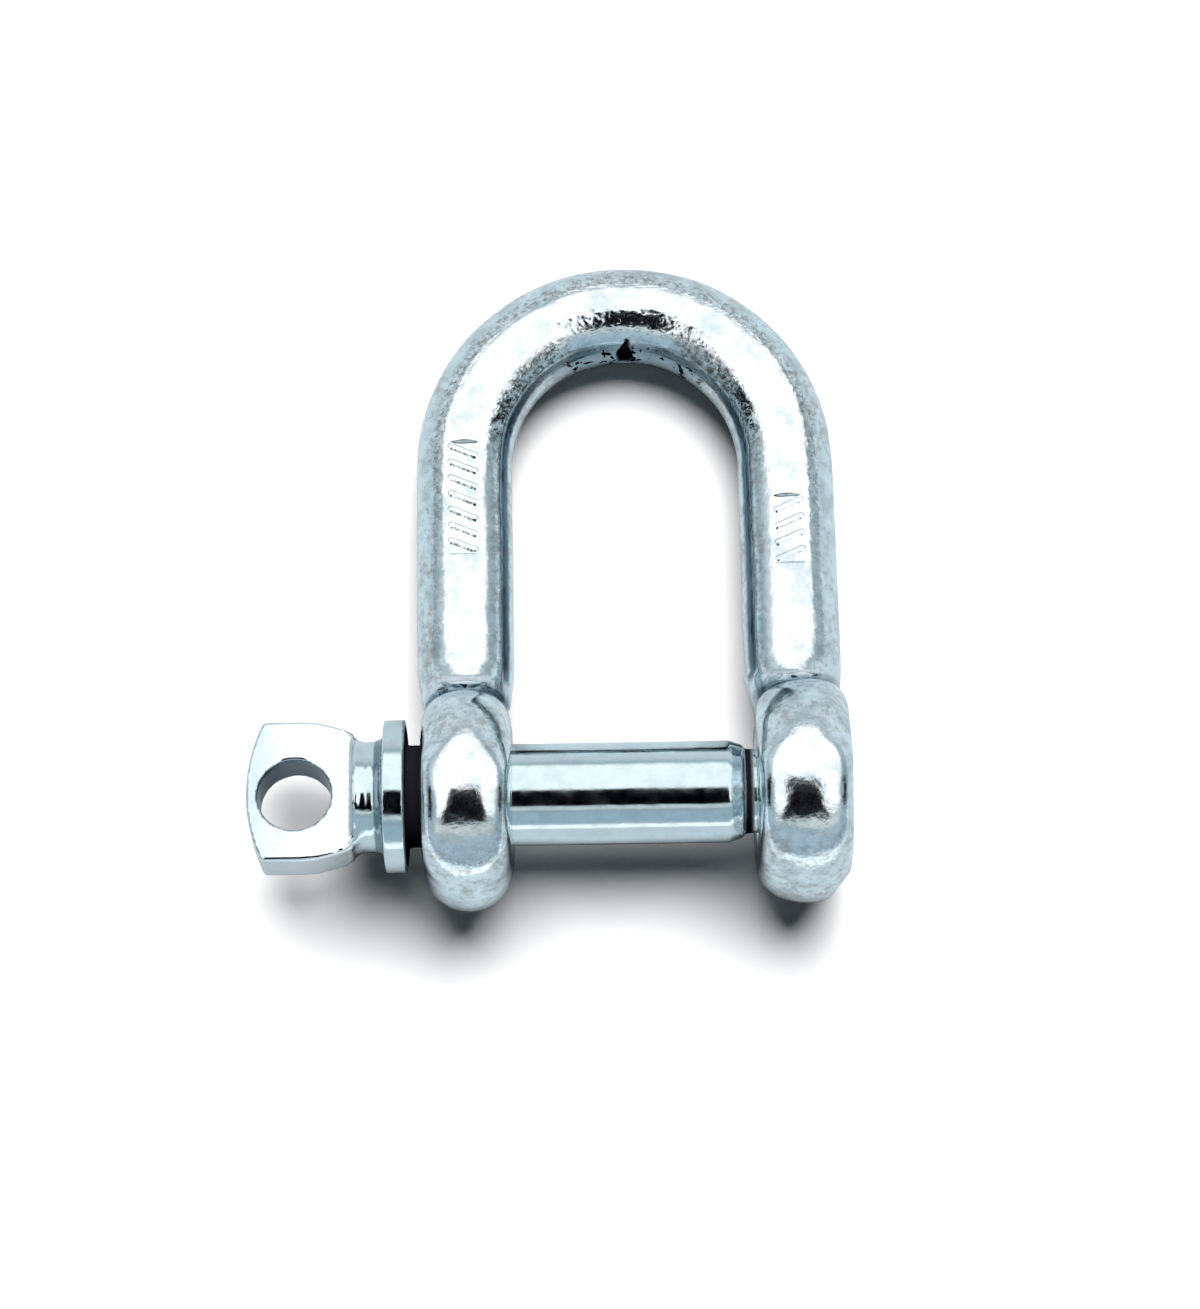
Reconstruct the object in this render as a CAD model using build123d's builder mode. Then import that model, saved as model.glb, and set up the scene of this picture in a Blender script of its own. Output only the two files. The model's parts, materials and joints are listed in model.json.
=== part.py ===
from build123d import *
import os
from math import asin, cos, degrees, radians, sin, tan

# D-shackle with a screw pin, millimetres.
# The origin is the middle of the pin axis between the ears. +X runs along the pin from its head to its
# threaded end, +Y towards the crown of the bow, +Z up. The shackle lies as it rests on a flat floor:
# on the rims of its two ears and on its crown, so the bow leans down towards the crown by lie_angle.

# Pin: plain shank, relief and threaded end
pin_radius = 4.0
thread_radius = 3.95
relief_radius = 3.3
shank_end_chamfer_radius = 3.6
shank_end_chamfer_length = 1.1
shank_shortfall = 1.35
relief_length = 1.5
tip_recess = 0.35
tip_chamfer = 0.7

# Running clearances on the radius
left_hole_clearance = 0.10
tapped_hole_clearance = 0.05

# Jaw and ears
jaw_width = 19.4
ear_thickness = 6.9
ear_radius = 8.95
left_rim_rounding = 3.3
right_rim_rounding = 2.7
rim_bands = 4
left_ear_drop = 0.13
right_ear_rise = 0.13
hole_lead_in = 0.3

# Bow: round bar bent to a half circle with two nearly straight legs
bar_radius = 3.82
crown_distance = 39.6
left_leg_step = -0.1
right_leg_step = 0.52
right_leg_splay = 0.6

# Forged swell where each leg runs into its ear
swell_start = 9.8
root_distance = 4.9
root_half_height = 5.2
root_half_width = 3.1

# Head of the pin: collar, neck and flattened spade with a round eye
collar_gap = 1.3
collar_radius = 6.0
collar_thickness = 1.75
collar_edge = 0.35
neck_radius = 4.1
neck_root = 0.45
neck_length = 2.35
flare_length = 1.3
spade_inset = 0.9
flare_radius = 4.85
spade_thickness = 3.9
spade_half_width = 5.73
spade_straight = 3.1
spade_end_rise = 1.3
spade_reach = 12.5
eye_radius = 2.85
eye_from_end = 3.8
eye_offset = -0.35
spade_turn = 13.5

# Sizes that follow
ear_centre = jaw_width / 2 + ear_thickness / 2
ear_outer_face = jaw_width / 2 + ear_thickness
lie_angle = degrees(asin((ear_radius - bar_radius) / crown_distance))
splay = radians(right_leg_splay)
leg_left = -(ear_centre - left_leg_step)
leg_right_foot = ear_centre - right_leg_step
# The arch radius r meets the splayed right leg on its tangent point and the crown at crown_distance.
arch_radius = (leg_right_foot - leg_left - crown_distance * tan(splay)) / (
    1 + 1 / cos(splay) - tan(splay)
)
arch_height = crown_distance - arch_radius
arch_middle = leg_left + arch_radius
arch_end = (arch_middle + arch_radius * cos(splay), arch_height + arch_radius * sin(splay))


def right_leg_at(distance):
    """X of the right leg's centre line at a distance from the pin axis."""
    return arch_end[0] + (arch_end[1] - distance) * tan(splay)


# The plane of the bow: its local X is the pin axis, its local Y points along the legs to the crown
lean = radians(lie_angle)
bow_plane = Plane(origin=(0, 0, 0), x_dir=(1, 0, 0), z_dir=(0, sin(lean), cos(lean)))


def across_leg(x, distance, slant=0.0):
    """The plane square to a leg at a distance from the pin axis; slant is the leg's outward slope."""
    at = bow_plane.from_local_coords((x, distance, 0))
    along = (-sin(slant), cos(slant) * cos(lean), -cos(slant) * sin(lean))
    across = (cos(slant), sin(slant) * cos(lean), -sin(slant) * sin(lean))
    return Plane(origin=at, x_dir=across, z_dir=along)


with BuildPart() as shackle_body:
    # Round bar: left leg, arch, right leg, down to where the legs begin to swell
    with BuildLine(bow_plane) as bow_line:
        Line((leg_left, swell_start), (leg_left, arch_height))
        ThreePointArc((leg_left, arch_height), (arch_middle, crown_distance), arch_end)
        Line(arch_end, (right_leg_at(swell_start), swell_start))
    with BuildSketch(across_leg(leg_left, swell_start)):
        Circle(bar_radius)
    sweep(path=bow_line.line)

    # Swelling ends of the legs, running into the ears
    for leg_start, leg_slant, leg_foot, ear_side in (
        (leg_left, 0.0, leg_left, -ear_centre),
        (right_leg_at(swell_start), splay, leg_right_foot, ear_centre),
    ):
        with BuildSketch(across_leg(leg_start, swell_start, leg_slant)):
            Circle(bar_radius)
        with BuildSketch(across_leg(ear_side, root_distance)):
            Ellipse(root_half_width, root_half_height)
        loft()

    # Ears: round plates whose rims are rounded over from both faces in narrow bands
    for ear_middle, ear_shift, rim_rounding in (
        (-ear_centre, -left_ear_drop, left_rim_rounding),
        (ear_centre, right_ear_rise, right_rim_rounding),
    ):
        quarter = [radians(90 * band / rim_bands) for band in range(rim_bands + 1)]
        shoulder = [
            (
                ear_thickness / 2 - rim_rounding * (1 - cos(angle)),
                ear_shift + ear_radius - rim_rounding * (1 - sin(angle)),
            )
            for angle in quarter
        ]
        with BuildSketch(Plane.XY):
            with BuildLine():
                Polyline(
                    (ear_middle - ear_thickness / 2, ear_shift),
                    *[(ear_middle - out, height) for out, height in shoulder],
                    *[(ear_middle + out, height) for out, height in reversed(shoulder)],
                    (ear_middle + ear_thickness / 2, ear_shift),
                    close=True,
                )
            make_face()
        revolve(axis=Axis((0, ear_shift, 0), (1, 0, 0)))

    # Tapped hole through the right ear, with a small lead-in at both mouths
    with BuildSketch(Plane.YZ.offset(ear_centre)):
        Circle(thread_radius + tapped_hole_clearance)
    extrude(amount=ear_thickness, both=True, mode=Mode.SUBTRACT)
    chamfer(shackle_body.edges(Select.LAST).filter_by(GeomType.CIRCLE), hole_lead_in)

    # Plain clearance hole through the left ear
    with BuildSketch(Plane.YZ.offset(-ear_centre)):
        Circle(pin_radius + left_hole_clearance)
    extrude(amount=ear_thickness, both=True, mode=Mode.SUBTRACT)

shackle_body.part.label = "shackle_body"

# Places along the pin, from the tip of the thread to the end of the spade
tip = ear_outer_face - tip_recess
shank_end = jaw_width / 2 - shank_shortfall
collar_front = -(ear_outer_face + collar_gap)
collar_back = collar_front - collar_thickness
step_face = collar_back - neck_length
neck_waist = step_face + flare_length
spade_root = collar_back - spade_inset
spade_end = collar_front - spade_reach + spade_end_rise
eye_centre = spade_end - spade_end_rise + eye_from_end

# The plane of the spade: local X along the pin, local Y across the flat
turn = radians(spade_turn)
spade_normal = (0, sin(turn), cos(turn))
spade_plane = Plane(origin=(0, 0, 0), x_dir=(1, 0, 0), z_dir=spade_normal)

with BuildPart() as screw_pin:
    # Neck, collar, shank, relief and threaded end, turned about the pin axis
    with BuildSketch(Plane.XY):
        with BuildLine():
            Line((step_face, 0), (step_face, flare_radius))
            Polyline(
                (step_face, flare_radius),
                (neck_waist, neck_radius),
                (collar_back - neck_root, neck_radius),
                (collar_back, neck_radius + neck_root),
                (collar_back, collar_radius - collar_edge),
            )
            Polyline(
                (collar_back, collar_radius - collar_edge),
                (collar_back + collar_edge, collar_radius),
                (collar_front - collar_edge, collar_radius),
                (collar_front, collar_radius - collar_edge),
                (collar_front, pin_radius),
                (shank_end - shank_end_chamfer_length, pin_radius),
                (shank_end, shank_end_chamfer_radius),
                (shank_end, relief_radius),
                (shank_end + relief_length, relief_radius),
                (shank_end + relief_length + thread_radius - relief_radius, thread_radius),
                (tip - tip_chamfer, thread_radius),
                (tip, thread_radius - tip_chamfer),
                (tip, 0),
                (step_face, 0),
            )
        make_face()
    revolve(axis=Axis.X)

    # Flattened spade, flaring out of the neck, with a gently curved end
    with BuildSketch(spade_plane.offset(-spade_thickness / 2)):
        with BuildLine():
            flank_start = spade_end + spade_straight
            for side in (1, -1):
                Line((spade_end, side * spade_half_width), (flank_start, side * spade_half_width))
                Spline(
                    (flank_start, side * spade_half_width),
                    (step_face - 1.2, side * (spade_half_width - 0.52)),
                    (step_face + 0.35, side * (spade_half_width - 1.25)),
                    (spade_root, side * 3.3),
                    tangents=[(1, 0), (1, -side * 0.9)],
                )
            Line((spade_root, 3.3), (spade_root, -3.3))
            ThreePointArc(
                (spade_end, spade_half_width),
                (spade_end - spade_end_rise, 0),
                (spade_end, -spade_half_width),
            )
        make_face()
    extrude(amount=spade_thickness)

    # Round eye through the spade
    with BuildSketch(spade_plane.offset(-spade_thickness)):
        with Locations((eye_centre, eye_offset)):
            Circle(eye_radius)
    extrude(amount=2 * spade_thickness, mode=Mode.SUBTRACT)

screw_pin.part.label = "screw_pin"

os.makedirs("parts", exist_ok=True)
export_step(shackle_body.part, "parts/shackle_body.step")
export_step(screw_pin.part, "parts/screw_pin.step")
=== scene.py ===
"""Looks of a zinc plated screw pin D-shackle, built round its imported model."""

import json
import logging
from dataclasses import dataclass
from enum import Enum
from math import asin, cos, pi, radians, sin, tan

import bmesh
import bpy
import numpy as np
from mathutils import Matrix, Vector, noise


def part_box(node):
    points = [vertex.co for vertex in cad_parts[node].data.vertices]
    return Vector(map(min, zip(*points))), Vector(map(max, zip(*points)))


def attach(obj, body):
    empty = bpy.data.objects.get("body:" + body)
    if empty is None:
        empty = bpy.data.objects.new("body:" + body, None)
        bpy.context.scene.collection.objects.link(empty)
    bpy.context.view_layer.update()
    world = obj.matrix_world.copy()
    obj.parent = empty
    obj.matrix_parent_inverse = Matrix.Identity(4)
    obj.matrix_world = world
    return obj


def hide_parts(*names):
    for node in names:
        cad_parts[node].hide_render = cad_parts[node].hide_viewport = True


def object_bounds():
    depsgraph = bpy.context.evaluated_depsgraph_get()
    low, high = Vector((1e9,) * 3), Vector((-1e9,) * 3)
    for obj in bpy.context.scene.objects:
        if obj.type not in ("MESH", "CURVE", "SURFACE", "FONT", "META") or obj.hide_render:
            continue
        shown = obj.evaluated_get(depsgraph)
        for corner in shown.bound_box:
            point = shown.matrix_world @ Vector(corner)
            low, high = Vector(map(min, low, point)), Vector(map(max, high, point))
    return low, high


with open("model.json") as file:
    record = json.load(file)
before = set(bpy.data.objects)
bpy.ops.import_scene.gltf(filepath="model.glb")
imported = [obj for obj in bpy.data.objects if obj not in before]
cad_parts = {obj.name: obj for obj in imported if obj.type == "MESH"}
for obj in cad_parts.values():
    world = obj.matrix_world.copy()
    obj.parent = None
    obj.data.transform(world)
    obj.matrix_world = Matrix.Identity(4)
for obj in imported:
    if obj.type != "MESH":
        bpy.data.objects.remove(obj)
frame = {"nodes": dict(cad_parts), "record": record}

MM = 0.001
SMALL_REACH = 0.1
SMALL_SLOPE = 1e-6
HALFWAY = 0.5
COLOUR_MIX_INPUTS = (0, 6, 7)
COLOUR_MIX_OUTPUT = 2

CAD_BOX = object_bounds()

Socket = bpy.types.NodeSocket

log = logging.getLogger("shackle")


class Side(Enum):
    """The two legs of the bow, by the sign of their X."""

    LEFT = -1
    RIGHT = 1


def smooth_step(value: np.ndarray, start: float, end: float) -> np.ndarray:
    """Ease a value from 0 at start to 1 at end.

    Args:
        value: Numbers to ease.
        start: Where the result leaves 0.
        end: Where the result reaches 1; it may be below start.

    Returns:
        The eased numbers, each from 0 to 1.
    """
    share = np.clip((value - start) / (end - start), 0.0, 1.0)
    return share * share * (3.0 - 2.0 * share)


def band(value: np.ndarray, rise: tuple, fall: tuple) -> np.ndarray:
    """Ease a value from 0 to 1 and back to 0 further on.

    Args:
        value: Numbers to ease.
        rise: Where the result leaves 0 and where it reaches 1.
        fall: Where the result is back at 0 and where it last is 1.

    Returns:
        The eased numbers, each from 0 to 1.
    """
    return smooth_step(value, *rise) * smooth_step(value, *fall)


def axis_reach(points: np.ndarray) -> np.ndarray:
    """Distance of each point from the pin axis, in the points' own unit."""
    return np.hypot(points[:, 1], points[:, 2])


def stretch_from_axis(points: np.ndarray, factor: np.ndarray) -> np.ndarray:
    """Move points straight away from the pin axis or towards it, by a factor for each."""
    return points * np.stack([np.ones(len(points)), factor, factor], axis=1)


def place_object(name: str, data: bpy.types.ID) -> bpy.types.Object:
    """Make an object and link it to the scene.

    Args:
        name: Name of the object.
        data: Its mesh, light or camera.

    Returns:
        The object.
    """
    made = bpy.data.objects.new(name, data)
    bpy.context.scene.collection.objects.link(made)
    return made


@dataclass(frozen=True)
class SurfaceCloud:
    """Soft three-dimensional noise that lifts a surface, sizes in millimetres.

    wavelength is the size of the largest features. Each further layer is twice as fine and half as
    strong. offset shifts the pattern, so that two clouds differ.
    """

    strength: float
    wavelength: float
    layers: int = 2
    offset: float = 0.0
    layer_shift: float = 7.3

    def height(self, points: np.ndarray) -> np.ndarray:
        """Height of the noise at each point.

        Args:
            points: Places in millimetres, one row each.

        Returns:
            One number for each point, about minus to plus strength.
        """
        values = np.zeros(len(points))
        scale, weight = 1.0 / self.wavelength, 1.0
        for layer in range(self.layers):
            shift = Vector((self.offset, self.layer_shift * layer, -self.offset))
            values += weight * np.array([noise.noise(Vector(p) + shift) for p in points * scale])
            scale, weight = scale * 2.0, weight * 0.5
        return self.strength * values


@dataclass(frozen=True)
class ShackleSizes:
    """Sizes of the shackle in millimetres, those that other values follow from."""

    hole_reach: float = 4.6
    ear_thickness: float = 6.9
    ear_centre: float = 13.15
    ear_radius: float = 8.95
    bar_radius: float = 3.82
    leg_left: float = -13.25
    leg_right_foot: float = 12.63
    splay: float = radians(0.6)
    swell_start: float = 9.8
    root_distance: float = 4.9
    root_half_height: float = 5.2
    root_half_width: float = 3.1
    lean: float = 0.0
    crown_distance: float = 0.0

    @classmethod
    def from_record(cls, record: dict) -> "ShackleSizes":
        """Read the bow's lean and reach from the seat in its crown.

        Args:
            record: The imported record, whose mounts hold crown_seat.

        Returns:
            The sizes with lean and crown_distance worked out.
        """
        seat = next(m for m in record["mounts"] if m["name"] == "crown_seat")
        lean = asin(seat["axis"][2])
        inside = (seat["pos_m"][1] * cos(lean) - seat["pos_m"][2] * sin(lean)) / MM
        return cls(lean=lean, crown_distance=inside + cls.bar_radius)

    @property
    def arch_radius(self) -> float:
        """Radius of the arch that meets the splayed right leg on its tangent point."""
        span = self.leg_right_foot - self.leg_left - self.crown_distance * tan(self.splay)
        return span / (1 + 1 / cos(self.splay) - tan(self.splay))

    @property
    def arch_height(self) -> float:
        """Distance from the pin axis to the middle of the arch."""
        return self.crown_distance - self.arch_radius

    @property
    def arch_middle(self) -> float:
        """X of the middle of the arch."""
        return self.leg_left + self.arch_radius


@dataclass
class BowPlace:
    """Where each point lies along the bent bar, in millimetres.

    from_crown is measured along the bar from the middle of the crown, positive to the right; out is
    the way off the centre line, away from the inside of the bow; above is the height over the plane
    of the bow; along is the distance from the pin axis in that plane; side is the sign of the leg.
    """

    from_crown: np.ndarray
    out: np.ndarray
    above: np.ndarray
    along: np.ndarray
    side: np.ndarray

    @property
    def inner_tilt(self) -> np.ndarray:
        """Angle of each point round the bar, up from its innermost line, in degrees."""
        return np.degrees(np.arctan2(self.above, -self.out))


def place_on_bow(points: np.ndarray, sizes: ShackleSizes) -> BowPlace:
    """Measure points against the centre line of the bow.

    Args:
        points: Places in millimetres, one row each.
        sizes: Sizes of the shackle.

    Returns:
        The place of each point along the bow.
    """
    x, y, z = points.T
    along = y * cos(sizes.lean) - z * sin(sizes.lean)
    above = y * sin(sizes.lean) + z * cos(sizes.lean)
    radius, height, middle = sizes.arch_radius, sizes.arch_height, sizes.arch_middle
    right_x = middle + radius + (height - along) * tan(sizes.splay)
    around = np.arctan2(along - height, x - middle)
    on_arch = along > height
    left = x < middle
    arch_reach = np.hypot(x - middle, along - height)
    out = np.where(on_arch, arch_reach - radius, np.where(left, sizes.leg_left - x, x - right_x))
    run = np.where(
        on_arch,
        height + radius * (pi - around),
        np.where(left, along, height + radius * pi + height - along),
    )
    return BowPlace(run - height - radius * pi / 2, out, above, along, np.where(left, -1.0, 1.0))


class SculptedPiece:
    """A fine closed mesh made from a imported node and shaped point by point."""

    def __init__(self, node: str, name: str, voxel: float, rounding: int) -> None:
        """Remesh a copy of a node finely and evenly.

        Args:
            node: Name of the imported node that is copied.
            name: Name of the new piece.
            voxel: Size of the mesh cells in millimetres.
            rounding: How many smoothing passes soften the sharp edges.
        """
        draft = place_object(name + "_draft", frame["nodes"][node].data.copy())
        cells = draft.modifiers.new("cells", "REMESH")
        cells.mode = "VOXEL"
        cells.voxel_size = voxel * MM
        soften = draft.modifiers.new("soften", "SMOOTH")
        soften.factor = HALFWAY
        soften.iterations = rounding
        graph = bpy.context.evaluated_depsgraph_get()
        mesh = bpy.data.meshes.new_from_object(draft.evaluated_get(graph))
        bpy.data.objects.remove(draft)
        mesh.name = name
        mesh.materials.clear()
        self.node = node
        self.object = place_object(name, mesh)
        self.shade_smooth()

    @property
    def mesh(self) -> bpy.types.Mesh:
        """The mesh of the piece."""
        return self.object.data

    def shade_smooth(self) -> None:
        """Shade every face of the mesh smoothly."""
        self.mesh.polygons.foreach_set("use_smooth", [True] * len(self.mesh.polygons))

    def points(self) -> np.ndarray:
        """Places of the mesh's vertices in millimetres, one row each."""
        return self.read(self.mesh.vertices, "co") / MM

    def normals(self) -> np.ndarray:
        """Outward directions of the mesh's vertices, one row each."""
        return self.read(self.mesh.vertex_normals, "vector")

    def read(self, rows: bpy.types.bpy_prop_collection, name: str) -> np.ndarray:
        """Read a vector from each row of the mesh's data.

        Args:
            rows: The rows.
            name: Name of the vector in each.

        Returns:
            The vectors, one row each.
        """
        flat = np.zeros(len(rows) * 3)
        rows.foreach_get(name, flat)
        return flat.reshape(-1, 3)

    def move_to(self, points: np.ndarray) -> None:
        """Put the vertices in new places, kept inside the node's own box.

        Args:
            points: New places in millimetres, one row each.
        """
        low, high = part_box(self.node)
        inside = np.clip(points * MM, np.array(low), np.array(high))
        self.mesh.vertices.foreach_set("co", inside.ravel())
        self.mesh.update()

    def refine(self, chosen: np.ndarray, cuts: int) -> None:
        """Split the cells of part of the mesh.

        Args:
            chosen: True for each vertex whose cells are split.
            cuts: How often each edge is cut.
        """
        work = bmesh.new()
        work.from_mesh(self.mesh)
        edges = [e for e in work.edges if all(chosen[v.index] for v in e.verts)]
        bmesh.ops.subdivide_edges(work, edges=edges, cuts=cuts, use_grid_fill=True)
        work.to_mesh(self.mesh)
        work.free()
        self.shade_smooth()

    def soften(self, chosen: np.ndarray, passes: int) -> None:
        """Smooth part of the mesh.

        Args:
            chosen: True for each vertex that may move.
            passes: How many times it moves towards its neighbours.
        """
        work = bmesh.new()
        work.from_mesh(self.mesh)
        vertices = [v for v in work.verts if chosen[v.index]]
        every_way = dict.fromkeys(("use_axis_x", "use_axis_y", "use_axis_z"), True)
        for _ in range(passes):
            bmesh.ops.smooth_vert(work, verts=vertices, factor=HALFWAY, **every_way)
        work.to_mesh(self.mesh)
        work.free()

    def paint(self, name: str, values: np.ndarray) -> None:
        """Store a mask on the mesh for its material to read.

        Args:
            name: Name of the mask.
            values: One number from 0 to 1 for each vertex.
        """
        layer = self.mesh.attributes.new(name, "FLOAT", "POINT")
        layer.data.foreach_set("value", np.clip(values, 0.0, 1.0).astype(np.float32))

    def attach(self, body: str, slot: str, material: bpy.types.Material) -> None:
        """Dress the piece and let it stand for its node.

        Args:
            body: Name of the body that it moves with.
            slot: Name of a material slot of the record; not used.
            material: The finish.
        """
        self.mesh.materials.append(material)
        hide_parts(self.node)
        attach(self.object, body)
        log.info("%s: %d faces", self.object.name, len(self.mesh.polygons))


@dataclass(frozen=True)
class MarkingPad:
    """A flattened pad on a leg with a row of plain slanted ribs, sizes in millimetres."""

    side: Side
    centre: float
    half_length: float
    ribs: int
    flat: float = 3.58
    half_width: float = 1.5
    rib_reach: float = 0.95
    rib_half_width: float = 0.15
    rib_height: float = 0.09
    rib_slant: float = 0.3
    edge: float = 0.16
    margin: float = 0.48

    def reaches(self, place: BowPlace) -> np.ndarray:
        """Tell which points the pad takes in.

        Args:
            place: The points along the bow.

        Returns:
            True for the points on or just round the pad.
        """
        near = np.abs(place.along - self.centre) < self.half_length + self.margin
        near &= np.abs(place.out) < self.half_width + self.margin
        return near & (place.above > 0.0) & (place.side == self.side.value)

    def depth(self, place: BowPlace) -> np.ndarray:
        """How deep the pad lies below the round leg, less the height of its ribs.

        Args:
            place: The points along the bow.

        Returns:
            Depth in millimetres, 0 away from the pad.
        """
        length = place.along - self.centre
        ends = smooth_step(np.abs(length), self.half_length + self.edge, self.half_length)
        sides = smooth_step(np.abs(place.out), self.half_width, self.half_width - self.edge)
        inside = ends * sides * self.reaches(place)
        pitch = 2 * self.half_length / self.ribs
        across = np.clip(place.out / self.rib_reach, -1.0, 1.0)
        slanted = length - self.rib_slant * pitch * across
        ribs = np.zeros(len(length))
        for index in range(self.ribs):
            middle = (index + 0.5) * pitch - self.half_length
            gap = np.hypot(slanted - middle, place.out - across * self.rib_reach)
            rise = smooth_step(gap, self.rib_half_width + self.edge, self.rib_half_width)
            ribs = np.maximum(ribs, rise)
        return inside * (np.maximum(place.above - self.flat, 0.0) - self.rib_height * ribs)


@dataclass(frozen=True)
class ScrewThread:
    """A screw thread about the X axis, sizes in millimetres.

    The groove goes away from the axis where depth is above 0, and towards it where it is below 0.
    """

    depth: float
    start: float
    end: float
    wall: tuple
    pitch: float = 1.25
    runout: float = 0.5
    root_width: float = 1.25
    flank_slope: float = 1.5

    def height(self, points: np.ndarray) -> np.ndarray:
        """Depth of the thread's groove at each point.

        Args:
            points: Places in millimetres, one row each.

        Returns:
            Depth in millimetres with its sign, 0 on the crests and outside the thread.
        """
        x, y, z = points.T
        turn = (x / self.pitch - np.arctan2(z, y) / (2 * pi)) % 1.0
        flank = np.clip(self.root_width - np.abs(2 * turn - 1) * self.flank_slope, 0.0, 1.0)
        runs = band(x, (self.start, self.start + self.runout), (self.end, self.end - self.runout))
        return self.depth * flank * runs

    def cut(self, points: np.ndarray) -> np.ndarray:
        """Cut the thread into a round wall.

        Args:
            points: Places in millimetres, one row each.

        Returns:
            The new places.
        """
        reach = axis_reach(points)
        groove = self.height(points) * smooth_step(reach, *self.wall)
        return stretch_from_axis(points, 1.0 + groove / np.maximum(reach, SMALL_REACH))


@dataclass(frozen=True)
class EarForm:
    """How the two ears are pressed and struck, sizes in millimetres, the left ear's before the right's."""

    sizes: ShackleSizes
    rim_height: tuple = (3.3, 2.7)
    shift: tuple = (-0.13, 0.13)
    round_power: float = 2.0
    pressed_power: float = 3.0
    pressed_rim_height: float = 2.4
    pressed_share: tuple = (0.45, 0.85)
    pressed_end: tuple = (4.4, 1.0)
    leg_clearance: tuple = (0.02, 0.5)
    rim_start: tuple = (4.9, 5.6)
    face_margin: tuple = (0.6, 0.3)
    solving_steps: int = 4
    crease_width: float = 0.36
    crease_start: tuple = (3.5, 5.5)
    corner_cut: float = 0.32
    corner_direction: tuple = (0.77, -0.64, 0.0)
    growth: float = 0.35
    growth_margin: float = 0.6
    hood_slope: float = 0.3
    hood_start: float = 8.6
    hood_root: tuple = (5.0, 6.5)
    hood_height: tuple = (1.5, 3.5)
    hood_clearance: tuple = (0.02, 0.14)

    def press(self, points: np.ndarray, place: BowPlace) -> tuple[np.ndarray, np.ndarray]:
        """Press both ears.

        Args:
            points: Places in millimetres, one row each.
            place: The same points along the bow.

        Returns:
            The new places, and the mask of the creases between ears and legs.
        """
        leg_gap = self.gap_to_leg(place)
        crease = np.zeros(len(points))
        for side in Side:
            points, near = self.press_side(points, leg_gap, side)
            crease = np.maximum(crease, near)
        return points, crease

    def gap_to_leg(self, place: BowPlace) -> np.ndarray:
        """Measure roughly how far each point is from the surface of the bar.

        Args:
            place: The points along the bow.

        Returns:
            Distances in millimetres, negative inside the bar.
        """
        sizes = self.sizes
        swell = np.clip(
            (sizes.swell_start - place.along) / (sizes.swell_start - sizes.root_distance), 0.0, 1.0
        )
        half_width = sizes.bar_radius + swell * (sizes.root_half_width - sizes.bar_radius)
        half_height = sizes.bar_radius + swell * (sizes.root_half_height - sizes.bar_radius)
        ring = np.hypot(place.out / half_width, place.above / half_height)
        gap = (ring - 1.0) * np.minimum(half_width, half_height)
        return gap + np.clip(sizes.root_distance - place.along, 0.0, None)

    def press_side(
        self, points: np.ndarray, leg_gap: np.ndarray, side: Side
    ) -> tuple[np.ndarray, np.ndarray]:
        """Give one ear its pressed crown above and below and its round end.

        The rim's section is a rounded box, across**power + up**power = 1. Its points are brought
        onto it in a few steps along its slope.

        Args:
            points: Places in millimetres, one row each.
            leg_gap: Distance of each point from the bar.
            side: Which ear.

        Returns:
            The new places, and a mask of the crease between ear and leg.
        """
        sizes = self.sizes
        index = 0 if side is Side.LEFT else 1
        middle = np.array([side.value * sizes.ear_centre, self.shift[index], 0.0])
        x, y, z = (points - middle).T
        reach = np.hypot(y, z)
        pressed = smooth_step(np.abs(z) / np.maximum(reach, SMALL_REACH), *self.pressed_share)
        pressed *= smooth_step(y, *self.pressed_end)
        rim = self.rim_height[index]
        height = rim + pressed * (self.pressed_rim_height - rim)
        power = self.round_power + pressed * (self.pressed_power - self.round_power)
        half = sizes.ear_thickness / 2
        width, rise = np.abs(x), reach.copy()
        floor_rise = sizes.ear_radius - height
        on_ear = smooth_step(leg_gap, *self.leg_clearance) * smooth_step(rise, *self.rim_start)
        on_ear *= smooth_step(width, half + self.face_margin[0], half + self.face_margin[1])
        for _ in range(self.solving_steps):
            up = np.maximum(rise - floor_rise, 0.0) / height
            across = width / half
            value = across**power + up**power - 1.0
            slope_x = power * across ** (power - 1.0) / half
            slope_up = power * up ** (power - 1.0) / height
            step = value / np.maximum(slope_x**2 + slope_up**2, SMALL_SLOPE)
            step = np.clip(step, -1.0, 1.0)
            width = np.maximum(width - step * slope_x, 0.0)
            rise = rise - step * slope_up
        rim_gap = np.hypot(width - np.abs(x), rise - reach)
        new_width = np.abs(x) + on_ear * (width - np.abs(x))
        stretch = (reach + on_ear * (rise - reach)) / np.maximum(reach, SMALL_REACH)
        moved = np.stack([np.sign(x) * new_width, y * stretch, z * stretch], axis=1) + middle
        near = np.exp(-((leg_gap / self.crease_width) ** 2) - (rim_gap / self.crease_width) ** 2)
        near *= smooth_step(y, *self.crease_start) * (np.abs(x) < half + self.face_margin[0])
        return np.where(on_ear[:, None] > 0.0, moved, points), near

    def cut_corner(self, points: np.ndarray) -> np.ndarray:
        """Flatten the low corner of the right ear, as struck on the forging.

        Args:
            points: Places in millimetres, one row each.

        Returns:
            The new places.
        """
        direction = np.array(self.corner_direction)
        direction /= np.linalg.norm(direction)
        reach = points @ direction
        past = np.maximum(reach - (reach.max() - self.corner_cut), 0.0)
        return points - past[:, None] * direction

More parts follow.
